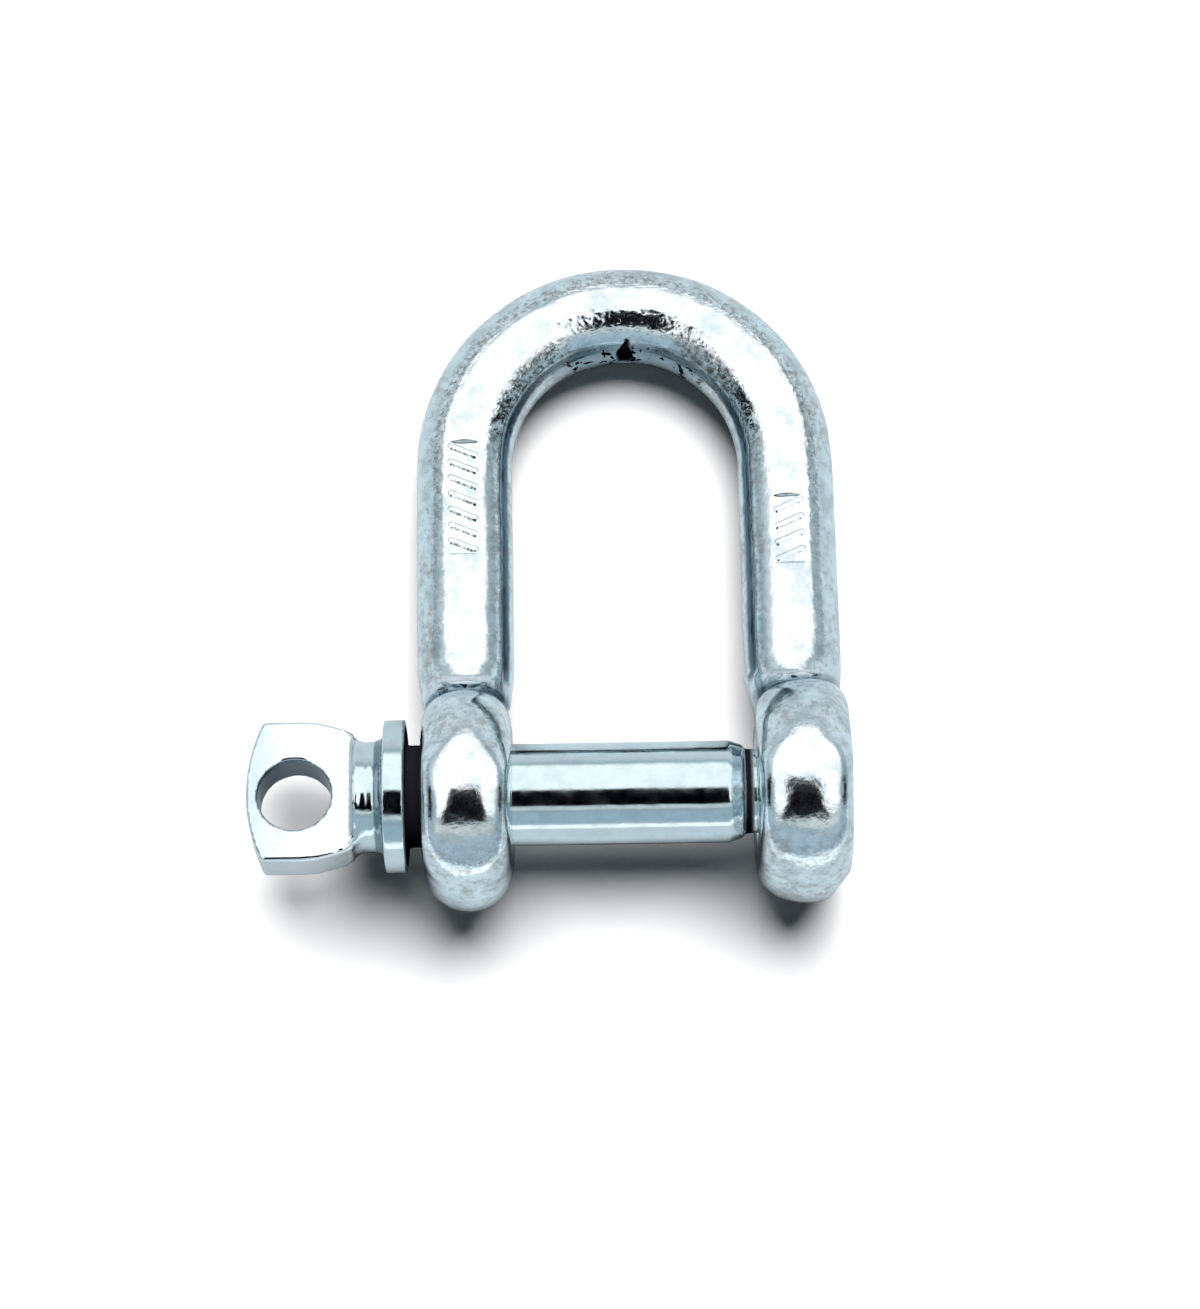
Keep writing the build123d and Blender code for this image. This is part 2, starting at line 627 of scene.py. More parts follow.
    def grow_right(self, points: np.ndarray) -> np.ndarray:
        """Let the inner face of the right ear stand out a little, as on the forging.

        Args:
            points: Places in millimetres, one row each.

        Returns:
            The new places.
        """
        x, sizes = points[:, 0], self.sizes
        share = smooth_step(x, sizes.ear_centre, sizes.ear_centre - sizes.ear_thickness / 2) * (x > 0.0)
        share *= smooth_step(axis_reach(points), sizes.ear_radius + self.growth_margin, sizes.ear_radius)
        return points - np.outer(self.growth * share, (1.0, 0.0, 0.0))

    def hood_lift(self, points: np.ndarray, place: BowPlace) -> np.ndarray:
        """Measure the metal heaped up where each leg meets its ear.

        Args:
            points: Places in millimetres, one row each.
            place: The same points along the bow.

        Returns:
            Its height in millimetres.
        """
        rise = self.hood_slope * np.maximum(self.hood_start - place.along, 0.0)
        rise *= smooth_step(place.along, *self.hood_root)
        upper = smooth_step(np.abs(place.above), *self.hood_height)
        shift = np.where(place.side < 0.0, *self.shift)
        past_ear = np.hypot(points[:, 1] - shift, points[:, 2]) - self.sizes.ear_radius
        return rise * upper * smooth_step(past_ear, *self.hood_clearance)


@dataclass(frozen=True)
class CrownPit:
    """The star-shaped pit on the inner face of the crown, sizes in millimetres and degrees."""

    depth: float = 0.22
    radius: float = 0.84
    at: float = 0.2
    tilt: float = 13.0
    flattening: float = 0.65
    spikes: tuple = (1.3, -0.25)
    spike_length: float = 0.5
    spike_width: float = 0.2
    lobes: int = 5
    lobe_height: float = 0.06
    edge: tuple = (1.08, 0.94)
    near_reach: float = 1.6
    near_tilt: float = 28.0

    def reaches(self, place: BowPlace) -> np.ndarray:
        """True for the points in and round the pit."""
        beside = np.abs(place.from_crown - self.at)
        return (beside < self.near_reach) & (np.abs(place.inner_tilt - self.tilt) < self.near_tilt)

    def mask(self, place: BowPlace, bar_radius: float) -> np.ndarray:
        """Outline of the pit.

        Args:
            place: The points along the bow.
            bar_radius: Radius of the bar in millimetres.

        Returns:
            1 in the pit, 0 round it.
        """
        beside = place.from_crown - self.at
        rise = self.flattening * radians(1.0) * bar_radius * (place.inner_tilt - self.tilt)
        angle = np.arctan2(rise, beside)
        edge = np.full(len(beside), self.radius)
        for spike in self.spikes:
            edge += self.spike_length * np.exp(-(((angle - spike) / self.spike_width) ** 2))
        edge += self.lobe_height * np.sin(self.lobes * angle)
        return smooth_step(np.hypot(beside, rise) / edge, *self.edge)


@dataclass(frozen=True)
class BarPatch:
    """A patch of the bar, its tilts in degrees up from the innermost line, its places in millimetres.

    Each pair tells how far from its middle it ends and where it is still whole.
    """

    tilt: float
    tilts: tuple
    middle: float
    ends: tuple

    def mask(self, place: BowPlace) -> np.ndarray:
        """1 on the patch, fading out just round it."""
        patch = smooth_step(np.abs(place.inner_tilt - self.tilt), *self.tilts)
        return patch * smooth_step(np.abs(place.from_crown - self.middle), *self.ends)


@dataclass(frozen=True)
class BowMarks:
    """Where the bow is scuffed and worn and where shade and a dark reflection are painted on it, in degrees
    round the bar and millimetres along it.

    The first patch is the inner face of the crown, specked and given painted shade; scuffed is the rough
    patch across its top.
    """

    inner_face: BarPatch = BarPatch(10.0, (26.0, 16.0), 1.0, (11.0, 6.0))
    scuffed: BarPatch = BarPatch(67.0, (25.0, 19.0), 0.4, (7.0, 4.5))
    # A shallow seam groove along the inner side, painted dark as a reflection of the other leg and its
    # shadow.
    seam_reflection_tilt: float = 31.0
    seam_reflection_half_width: float = 9.5
    seam_reflection_edge: tuple = (1.1, 0.5)
    seam_reflection_start: tuple = (8.1, 8.9)
    seam_reflection_at_crown: tuple = (16.0, 8.0)
    seam_reflection_narrowing: float = 0.45
    seam_reflection_fading: float = 0.35
    worn_tilts: tuple = (50.0, 122.0)
    worn_half_widths: tuple = (13.0, 9.0)
    worn_edge: float = 3.0
    worn_start: tuple = (10.0, 13.0)
    shoulder_start: tuple = (4.0, 7.0)
    shoulder_end: tuple = (24.0, 14.0)
    back_shares: tuple = (0.2, 0.35)
    back_end: tuple = (30.0, 20.0)

    def seam(self, place: BowPlace) -> np.ndarray:
        """Mask of the parting line along the inner side of the bow, a shallow groove with a painted dark
        reflection along it.

        Args:
            place: The points along the bow.

        Returns:
            1 in the line, 0 beside it.
        """
        at_crown = smooth_step(np.abs(place.from_crown), *self.seam_reflection_at_crown)
        half_width = self.seam_reflection_half_width * (1.0 - self.seam_reflection_narrowing * at_crown)
        off = np.abs(place.inner_tilt - self.seam_reflection_tilt) / half_width
        line = smooth_step(off, *self.seam_reflection_edge) * (1.0 - self.seam_reflection_fading * at_crown)
        return line * smooth_step(place.along, *self.seam_reflection_start)

    def worn(self, place: BowPlace) -> np.ndarray:
        """Mask of the rough strips on both shoulders of the bow, most at the arch.

        Args:
            place: The points along the bow.

        Returns:
            1 in the strips, less where they are only lightly worn.
        """
        away = np.abs(place.from_crown)
        shares = (
            band(away, self.shoulder_start, self.shoulder_end),
            self.back_shares[0] + self.back_shares[1] * smooth_step(away, *self.back_end),
        )
        strips = []
        for share, middle, half_width in zip(shares, self.worn_tilts, self.worn_half_widths):
            off = np.abs(place.inner_tilt - middle)
            strips.append(share * smooth_step(off, half_width + self.worn_edge, half_width - self.worn_edge))
        return np.maximum(*strips) * smooth_step(place.along, *self.worn_start)


@dataclass
class Bow:
    """The forged bow with its two ears, sizes in millimetres."""

    sizes: ShackleSizes
    voxel: float = 0.268
    edge_passes: int = 3
    fine_cuts: int = 2
    fine_crease: float = 0.08
    fine_scuff: float = 0.02
    pit: CrownPit = CrownPit()
    marks: BowMarks = BowMarks()
    pads: tuple = (MarkingPad(Side.LEFT, 23.3, 4.55, 7), MarkingPad(Side.RIGHT, 20.3, 2.7, 4))
    thread: ScrewThread = ScrewThread(0.5, 10.0, 16.3, (4.25, 4.1))
    waves: SurfaceCloud = SurfaceCloud(0.07, 6.0)
    bar_ripple: float = 0.011
    ear_ripple: float = 0.030
    ear_ripple_start: tuple = (8.5, 6.5)
    ripples: SurfaceCloud = SurfaceCloud(1.0, 2.0, offset=5.7)
    peel: SurfaceCloud = SurfaceCloud(0.006, 0.5, layers=1, offset=3.1)
    scuffs: SurfaceCloud = SurfaceCloud(0.034, 0.6, offset=8.4)
    crease_depth: float = 0.36
    crease_power: int = 4
    # How the painted shade in the creases between ears and legs fades, outside and inside the bow.
    crease_shade_power: float = 2.0
    inner_crease_shade_power: float = 0.7
    inner_crease_shade_start: tuple = (0.3, 2.6)
    seam_depth: float = 0.05
    hole_margin: float = 0.3
    # Painted shade over the inner face of the crown.
    inner_shade: float = 0.75
    # Painted sheen on faces turned up.
    sheen_slopes: tuple = (0.72, 0.92)

    def build(self) -> SculptedPiece:
        """Make the bow's mesh.

        Returns:
            The shaped piece with its masks.
        """
        piece = SculptedPiece("shackle_body", "forged_bow", self.voxel, self.edge_passes)
        ears = EarForm(self.sizes)
        place = place_on_bow(piece.points(), self.sizes)
        points, crease = ears.press(piece.points(), place)
        piece.move_to(points)
        fine = (crease > self.fine_crease) | (self.marks.scuffed.mask(place) > self.fine_scuff)
        fine |= np.any([part.reaches(place) for part in (self.pit, *self.pads)], axis=0)
        piece.refine(fine, self.fine_cuts)
        place = place_on_bow(piece.points(), self.sizes)
        points, crease = ears.press(piece.points(), place)
        piece.move_to(ears.grow_right(ears.cut_corner(points)))
        points = piece.points()
        pit = self.pit.mask(place, self.sizes.bar_radius)
        # The seam mask cuts a shallow groove and carries a painted dark reflection.
        scuff, seam = self.marks.scuffed.mask(place), self.marks.seam(place)
        depth = self.crease_depth * crease**self.crease_power + self.seam_depth * seam
        depth += self.pit.depth * pit + sum(pad.depth(place) for pad in self.pads)
        on_ear = smooth_step(place.along, *self.ear_ripple_start)
        ripple = self.bar_ripple + on_ear * (self.ear_ripple - self.bar_ripple)
        lift = self.waves.height(points) + ripple * self.ripples.height(points) + self.peel.height(points)
        lift += scuff * np.abs(self.scuffs.height(points)) + ears.hood_lift(points, place)
        lift = (lift - depth) * (1.0 - self.hole_mask(points))
        normals = piece.normals()
        piece.move_to(self.thread.cut(points + normals * lift[:, None]))
        # The inner face of the crown gets dark specks and painted shade.
        inner = self.marks.inner_face.mask(place)
        # Painted shade: the crease between each ear and its leg is darkened, spreading further on the inner
        # side.
        inner_side_share = smooth_step(-place.out, *self.inner_crease_shade_start)
        crease_shade = crease ** (self.crease_shade_power + inner_side_share * (self.inner_crease_shade_power - self.crease_shade_power))
        # Painted shade in the creases and on the crown's inner face, and the seam's painted dark reflection.
        piece.paint("painted_shade_and_reflection", np.maximum(np.maximum(crease_shade, seam), self.inner_shade * inner))
        # The crown pit is painted near black.
        piece.paint("pit_and_shade", pit)
        piece.paint("specks", inner)
        piece.paint("worn", self.marks.worn(place))
        piece.paint("scuff", scuff)
        # Painted sheen: faces turned up are lighter and less dull, where the light from above falls on them.
        piece.paint("painted_sheen", smooth_step(normals[:, 2], *self.sheen_slopes))
        return piece

    def hole_mask(self, points: np.ndarray) -> np.ndarray:
        """1 on the walls of the two holes, fading out just round their mouths."""
        mouth, margin = self.sizes.hole_reach, self.hole_margin
        return 1.0 - smooth_step(axis_reach(points), mouth - margin, mouth + margin)


@dataclass
class ScrewPin:
    """The pin with its flattened head, collar, shank and thread, sizes in millimetres.

    Places are X along the pin; what ends in reach is a distance from its axis.
    """

    sizes: ShackleSizes
    voxel: float = 0.172
    edge_passes: int = 2
    waves: SurfaceCloud = SurfaceCloud(0.02, 4.0, offset=5.0)
    peel: SurfaceCloud = SurfaceCloud(0.005, 1.1, offset=9.0)
    turned_start: tuple = (-18.5, -17.8)
    collar_root: float = -17.9
    collar_radius: float = 5.99
    collar_catch: tuple = (-0.5, -0.25)
    head_passes: int = 4
    flare: tuple = (-22.6, -19.9)
    flare_passes: int = 16
    neck_places: tuple = (-22.05, -20.75, -20.4, -20.15, -19.75)
    neck_drawn: tuple = (4.85, 4.1, 4.1, 4.1, 4.5)
    neck_catch: tuple = (0.5, 0.25)
    neck_waist: float = 4.3
    neck_flare: float = 0.42
    neck_power: int = 3
    # Painted shade at the root of the collar and at the step by the head.
    root_shade: float = 0.8
    root_rise: tuple = (-20.4, -20.25)
    root_fall: tuple = (-19.66, -19.72)
    root_reach: tuple = (5.4, 5.0)
    step_shade: float = 0.35
    step_rise: tuple = (-22.4, -22.3)
    step_fall: tuple = (-21.8, -21.95)
    step_reach: float = 5.2
    head_turn: float = 13.5
    head_half_thickness: tuple = (2.0, 2.2)
    # Painted shade on the wall of the eye.
    eye_shade: float = 0.85
    eye_margin: tuple = (0.25, 0.1)
    eye_rim: float = 0.2
    # Painted shade in the thread relief and in the gap between the collar and the ear.
    relief_rise: tuple = (8.35, 8.5)
    relief_fall: tuple = (9.2, 8.95)
    collar_gap_shade_rise: tuple = (-18.05, -17.9)
    collar_gap_shade_fall: tuple = (-16.2, -16.7)
    collar_gap_shade_reach: tuple = (5.9, 5.5)
    # Painted sheen over the flattened head.
    sheen_rise: tuple = (-30.3, -26.5)
    sheen_fall: tuple = (-21.5, -22.3)
    thread: ScrewThread = ScrewThread(-0.62, 10.3, 16.6, (3.1, 3.3))

    def build(self) -> SculptedPiece:
        """Make the pin's mesh.

        Returns:
            The shaped piece with its masks.
        """
        piece = SculptedPiece("screw_pin", "turned_pin", self.voxel, self.edge_passes)
        x = piece.points()[:, 0]
        piece.soften(x < self.collar_root, self.head_passes)
        piece.soften((x > self.flare[0]) & (x < self.flare[1]), self.flare_passes)
        piece.refine(x > self.thread.start, 1)
        points = piece.points()
        turned = smooth_step(points[:, 0], *self.turned_start)
        lift = self.waves.height(points) * (1.0 - turned) + self.peel.height(points)
        points = self.turn_profile(points + piece.normals() * lift[:, None])
        piece.move_to(self.thread.cut(points))
        # Painted shade on the wall of the eye and at both ends of the neck.
        piece.paint("painted_shade_and_reflection", np.maximum(self.eye_shade * self.eye_wall(points), self.neck_end_shade(points)))
        # Painted shade in the thread relief and beside the collar.
        piece.paint("pit_and_shade", self.recess_shade_mask(points))
        for unmarked in ("scuff", "specks", "worn"):
            piece.paint(unmarked, np.zeros(len(points)))
        # Painted sheen: the flattened head is lighter and less dull.
        piece.paint("painted_sheen", band(points[:, 0], self.sheen_rise, self.sheen_fall))
        return piece

    def turn_profile(self, points: np.ndarray) -> np.ndarray:
        """Even out the neck and give the collar its crisp edges.

        Args:
            points: Places in millimetres, one row each.

        Returns:
            The new places.
        """
        x, reach = points[:, 0], axis_reach(points)
        first, last = self.neck_places[0], self.neck_places[-1]
        drawn = np.interp(x, self.neck_places, self.neck_drawn)
        from_waist = np.clip(np.abs(2 * x - first - last) / (last - first), 0.0, 1.0)
        wanted = self.neck_waist + self.neck_flare * from_waist**self.neck_power
        on_neck = smooth_step(np.abs(reach - drawn), *self.neck_catch) * (x > first) * (x < last)
        on_rim = smooth_step(reach - self.collar_radius, *self.collar_catch)
        on_rim *= (x > last) & (x < self.collar_root)
        new_reach = reach + on_neck * (wanted - drawn) + on_rim * (self.collar_radius - reach)
        return stretch_from_axis(points, new_reach / np.maximum(reach, SMALL_REACH))

    def neck_end_shade(self, points: np.ndarray) -> np.ndarray:
        """Mask both ends of the neck, where shade is painted: the step by the head and the root of the
        collar.

        Args:
            points: Places in millimetres, one row each.

        Returns:
            Part of 1 in the two rings of painted shade, 0 elsewhere.
        """
        x, reach = points[:, 0], axis_reach(points)
        root = band(x, self.root_rise, self.root_fall) * smooth_step(reach, *self.root_reach)
        step = band(x, self.step_rise, self.step_fall) * (reach < self.step_reach)
        turn = radians(self.head_turn)
        off_flat = np.abs(points @ np.array((0.0, sin(turn), cos(turn))))
        step *= smooth_step(off_flat, *self.head_half_thickness)
        return np.maximum(self.root_shade * root, self.step_shade * step)

    def eye_wall(self, points: np.ndarray) -> np.ndarray:
        """Mask the wall of the eye, where shade is painted.

        Args:
            points: Places in millimetres, one row each.

        Returns:
            1 on the wall, 0 elsewhere.
        """
        eye = next(m for m in frame["record"]["mounts"] if m["name"] == "lanyard_eye")
        axis, middle = np.array(eye["axis"]), np.array(eye["pos_m"]) / MM
        radius, half = eye["dims"]["r_mm"], eye["dims"]["length_mm"] / 2
        offset = points - middle
        along = offset @ axis
        off_wall = np.linalg.norm(offset - along[:, None] * axis, axis=1) - radius
        return smooth_step(off_wall, *self.eye_margin) * smooth_step(np.abs(along), half, half - self.eye_rim)

    def recess_shade_mask(self, points: np.ndarray) -> np.ndarray:
        """Mask the painted shade in the thread relief and in the gap at the root of the collar.

        Args:
            points: Places in millimetres, one row each.

        Returns:
            1 in the painted shade, 0 elsewhere.
        """
        x = points[:, 0]
        root = band(x, self.collar_gap_shade_rise, self.collar_gap_shade_fall)
        root *= smooth_step(axis_reach(points), *self.collar_gap_shade_reach)
        return np.maximum(band(x, self.relief_rise, self.relief_fall), root)


@dataclass(frozen=True)
class NoiseForm:
    """A noise texture and how its values are eased.

    scale counts features for each millimetre, detail the finer layers and roughness their weight. The
    values are eased from 0 at the first number of edge to 1 at the second.
    """

    scale: float = 1.0
    detail: float = 2.0
    roughness: float = 0.5
    edge: tuple = (0.0, 1.0)


class Wiring:
    """Short ways to place and join shader nodes."""

    def __init__(self, tree: bpy.types.NodeTree) -> None:
        """Work on one node tree."""
        self.tree = tree

    def node(self, kind: str, given: dict | None = None, **settings: object) -> bpy.types.Node:
        """Place a node.

        Args:
            kind: The node's type.
            given: Values or outputs of other nodes for its inputs, by name or number.
            **settings: Properties to set on it.

        Returns:
            The node.
        """
        made = self.tree.nodes.new(kind)
        for name, value in settings.items():
            setattr(made, name, value)
        for key, value in (given or {}).items():
            self.feed(made.inputs[key], value)
        return made

    def feed(self, socket: Socket, value: object) -> None:
        """Join an output to a socket, or set the socket to a plain value.

        Args:
            socket: The input.
            value: An output of another node, or a plain value.
        """
        if isinstance(value, bpy.types.NodeSocket):
            self.tree.links.new(value, socket)
        else:
            socket.default_value = value

    def maths(self, operation: str, *values: object) -> Socket:
        """Place a maths node and give its output; the values are numbers or other outputs."""
        return self.node("ShaderNodeMath", dict(enumerate(values)), operation=operation).outputs[0]

    def product(self, *values: object) -> Socket:
        """Multiply values.

        Args:
            *values: Numbers or outputs of other nodes.

        Returns:
            Their product.
        """
        result = values[0]
        for value in values[1:]:
            result = self.maths("MULTIPLY", result, value)
        return result

    def ease(self, value: object, start: object, end: object) -> Socket:
        """Ease a value from 0 at start to 1 at end; end may be below start."""
        given = {"Value": value, "From Min": start, "From Max": end}
        return self.node("ShaderNodeMapRange", given, interpolation_type="SMOOTHSTEP").outputs["Result"]

    def blend(self, factor: object, first: object, second: object) -> Socket:
        """Mix two colours, factor being the share of the second."""
        given = dict(zip(COLOUR_MIX_INPUTS, (factor, first, second)))
        return self.node("ShaderNodeMix", given, data_type="RGBA").outputs[COLOUR_MIX_OUTPUT]

    def noise(self, place: Socket, form: NoiseForm, size: Socket | None = None) -> Socket:
        """Place a noise texture.

        Args:
            place: Where it is read, in millimetres.
            form: How it looks.
            size: Size of its features in millimetres, when that comes from a node.

        Returns:
            Its value.
        """
        scale = form.scale if size is None else self.maths("DIVIDE", 1.0, size)
        given = {"Vector": place, "Scale": scale, "Detail": form.detail, "Roughness": form.roughness}
        return self.node("ShaderNodeTexNoise", given).outputs["Fac"]

    def patches(self, place: Socket, form: NoiseForm, size: Socket | None = None) -> Socket:
        """Place a noise texture and ease its values; see noise for the arguments."""
        return self.ease(self.noise(place, form, size), *form.edge)


class EffectGroup:
    """A shader node group that more than one finish uses."""

    name = ""
    inputs: tuple = ()
    outputs: tuple = ()

    def __init__(self) -> None:
        """Make the group with its named sockets."""
        self.tree = bpy.data.node_groups.new(self.name, "ShaderNodeTree")
        for name, kind, value in self.inputs:
            socket = self.tree.interface.new_socket(name, in_out="INPUT", socket_type=kind)
            if value is not None:
                socket.default_value = value
        for name in self.outputs:
            self.tree.interface.new_socket(name, in_out="OUTPUT", socket_type="NodeSocketFloat")
        wiring = Wiring(self.tree)
        made = self.fill(wiring, wiring.node("NodeGroupInput").outputs)
        wiring.node("NodeGroupOutput", made)

    def fill(self, wiring: Wiring, given: bpy.types.NodeOutputs) -> dict[str, Socket]:
        """Place the group's nodes.

        Args:
            wiring: Ways to place nodes in the group.
            given: The group's inputs.

        Returns:
            What it gives out, by name.
        """
        raise NotImplementedError

    def place(self, wiring: Wiring, **values: object) -> bpy.types.NodeOutputs:
        """Use the group in a material.

        Args:
            wiring: Ways to place nodes in the material.
            **values: Values of its inputs by name, with _ for a space.

        Returns:
            Its outputs.
        """
        given = {name.replace("_", " "): value for name, value in values.items()}
        return wiring.node("ShaderNodeGroup", given, node_tree=self.tree).outputs


class PlatingBloom(EffectGroup):
    """Uneven dull clouds and fine speckle in a zinc plating."""

    name = "plating_bloom"
    inputs = (
        ("Place", "NodeSocketVector", None),
        ("Cloud Size", "NodeSocketFloat", 1.0),
        ("Amount", "NodeSocketFloat", 0.5),
    )
    outputs = ("Mask", "Speckle")
    clouds = NoiseForm(detail=7.0, roughness=0.56, edge=(0.36, 0.74))
    speckle = NoiseForm(7.0, 3.0, 0.7, edge=(0.56, 0.7))

    def fill(self, wiring: Wiring, given: bpy.types.NodeOutputs) -> dict[str, Socket]:
        """Place the group's nodes.

        Args:
            wiring: Ways to place nodes in the group.
            given: The group's inputs.

        Returns:
            The mask of the clouds and the speckle.
        """
        clouds = wiring.patches(given["Place"], self.clouds, given["Cloud Size"])
        speckle = wiring.patches(given["Place"], self.speckle)
        return {"Mask": wiring.product(clouds, given["Amount"]), "Speckle": speckle}


class RustFlecks(EffectGroup):
    """Sparse brown flecks where the plating has gone."""

    name = "rust_flecks"
    inputs = (("Place", "NodeSocketVector", None), ("Share", "NodeSocketFloat", 0.1))
    outputs = ("Mask",)
    spots = NoiseForm(1.6, 5.0, 0.75)
    regions = NoiseForm(0.16, 2.0)
    region_weight = 0.4
    limit_without_share = 0.9
    edge_width = 0.24

    def fill(self, wiring: Wiring, given: bpy.types.NodeOutputs) -> dict[str, Socket]:
        """Place the group's nodes.

        Args:
            wiring: Ways to place nodes in the group.
            given: The group's inputs.

        Returns:
            The mask of the flecks.
        """
        spots = wiring.noise(given["Place"], self.spots)
        regions = wiring.noise(given["Place"], self.regions)
        value = wiring.maths("MULTIPLY_ADD", regions, self.region_weight, spots)
        limit = wiring.maths("SUBTRACT", self.limit_without_share, given["Share"])
        return {"Mask": wiring.ease(value, limit, wiring.maths("ADD", limit, self.edge_width))}


class FineGrain(EffectGroup):
    """Height of the fine grain of a plated surface."""

    name = "fine_grain"
    inputs = (("Place", "NodeSocketVector", None), ("Grain Size", "NodeSocketFloat", 0.3))
    outputs = ("Height",)
    grain = NoiseForm(detail=4.0, roughness=0.6)

    def fill(self, wiring: Wiring, given: bpy.types.NodeOutputs) -> dict[str, Socket]:
        """Place the node of the grain."""
        return {"Height": wiring.noise(given["Place"], self.grain, given["Grain Size"])}


@dataclass(frozen=True)
class ZincFinish:
    """A bright zinc plating, with the wear of one piece and its painted shade, reflection and sheen, sizes in
    millimetres.
    """

    name: str
    bright: tuple = (0.76, 0.90, 0.945, 1.0)
    mottled: tuple = (0.58, 0.70, 0.745, 1.0)
    # Tint of the painted sheen.
    painted_sheen: tuple = (0.86, 0.92, 0.95, 1.0)
    dull: tuple = (0.44, 0.50, 0.53, 1.0)
    rust: tuple = (0.30, 0.24, 0.21, 1.0)
    worn: tuple = (0.16, 0.165, 0.15, 1.0)
    # Colour of the painted shade and painted reflection: creases, the seam, the crown's inner face, the eye
    # wall and both ends of the pin's neck.
    painted_shade_and_reflection: tuple = (0.10, 0.17, 0.22, 1.0)
    # Near black for the crown pit, the specks and the painted shade in the pin's recesses.
    dark: tuple = (0.01, 0.01, 0.014, 1.0)
    roughness: float = 0.12
    dull_roughness: float = 0.30
    cloud_size: float = 1.6
    bloom: float = 0.65
    rust_share: float = 0.26
    # How much the painted sheen and the scuffs clear the dull clouds, speckle and flecks.
    sheen_clearing: float = 0.75
    mottle: float = 0.75
    speckle: float = 0.3
    flecks: float = 0.6
    grain_size: float = 0.28
    grain_height: float = 0.008
    scuff_height: float = 0.003
    dimple_height: float = 0.022
    worn_height: float = 0.1
    mottling: NoiseForm = NoiseForm(0.42, 5.0, 0.65, edge=(0.5, 0.66))
    scaling: NoiseForm = NoiseForm(2.4, 4.0, 0.7, edge=(0.47, 0.6))
    specks: NoiseForm = NoiseForm(1.7, 2.0, edge=(0.61, 0.64))
    scuffing: NoiseForm = NoiseForm(3.2, 4.0, 0.65)
    dimpling: NoiseForm = NoiseForm(1.3, 2.0)

    def build(self, groups: dict[str, EffectGroup]) -> bpy.types.Material:
        """Make the material.

        Args:
            groups: The shared effects by name.

        Returns:
            The material.
        """
        material = bpy.data.materials.new(self.name)
        material.use_nodes = True
        material.node_tree.nodes.clear()
        wiring = Wiring(material.node_tree)
        coordinates = wiring.node("ShaderNodeTexCoord").outputs["Object"]
        to_millimetres = {0: coordinates, "Scale": 1.0 / MM}
        place = wiring.node("ShaderNodeVectorMath", to_millimetres, operation="SCALE").outputs[0]
        painted_shade_and_reflection, pit_and_shade, scuff, specks, worn, painted_sheen = (
            wiring.node("ShaderNodeAttribute", attribute_name=name).outputs["Fac"]
            for name in ("painted_shade_and_reflection", "pit_and_shade", "scuff", "specks", "worn", "painted_sheen")
        )
        bloom = groups["bloom"].place(wiring, Place=place, Cloud_Size=self.cloud_size, Amount=self.bloom)
        rust = groups["rust"].place(wiring, Place=place, Share=self.rust_share)
        grain = groups["grain"].place(wiring, Place=place, Grain_Size=self.grain_size)
        # Painted sheen and scuffs clear most of the dull clouds, speckle and rust flecks, except where worn.
        sheen_and_scuff = wiring.maths("MAXIMUM", painted_sheen, scuff)
        kept = wiring.maths("MAXIMUM", wiring.maths("MULTIPLY_ADD", sheen_and_scuff, -self.sheen_clearing, 1.0), worn)
        dulled = wiring.product(bloom["Mask"], kept)
        # Near black and not metallic: the crown pit, the specks on the crown's inner face, and the painted
        # shade in the pin's recesses.
        black_marks_and_shade = wiring.maths("MAXIMUM", pit_and_shade, wiring.product(wiring.patches(place, self.specks), specks))
        colour: object = self.bright
        for share, tint in (
            # Painted sheen.
            (painted_sheen, self.painted_sheen),
            (wiring.product(wiring.patches(place, self.mottling), self.mottle), self.mottled),
            (dulled, self.dull),
            (wiring.product(bloom["Speckle"], kept, self.speckle), self.dull),
            (wiring.product(rust["Mask"], kept, self.flecks), self.rust),
            (wiring.product(wiring.patches(place, self.scaling), worn), self.worn),
            # Painted shade and painted reflection.
            (painted_shade_and_reflection, self.painted_shade_and_reflection),
            (black_marks_and_shade, self.dark),
        ):
            colour = wiring.blend(share, colour, tint)
        duller = self.dull_roughness - self.roughness
        relief = wiring.maths("MULTIPLY_ADD", worn, self.worn_height * MM, self.dimple_height * MM)
        dimples = wiring.product(wiring.noise(place, self.dimpling), relief)
        height = wiring.maths("MULTIPLY_ADD", grain["Height"], self.grain_height * MM, dimples)
        patch = wiring.product(wiring.noise(place, self.scuffing), scuff, self.scuff_height * MM)
        lift = {"Strength": 1.0, "Distance": 1.0, "Height": wiring.maths("ADD", height, patch)}
        look = {
            "Specular IOR Level": 0.0,
            "Metallic": wiring.maths("SUBTRACT", 1.0, black_marks_and_shade),
            "Base Color": colour,
            "Roughness": wiring.maths("MULTIPLY_ADD", dulled, duller, self.roughness),
            "Normal": wiring.node("ShaderNodeBump", lift).outputs["Normal"],
        }
        shader = wiring.node("ShaderNodeBsdfPrincipled", look)
        wiring.node("ShaderNodeOutputMaterial", {"Surface": shader.outputs["BSDF"]})
        return material


@dataclass(frozen=True)
class SkyBand:
    """Even light from a band of the studio, between two angles towards +Y, in degrees."""

    start: float
    end: float
    colour: tuple


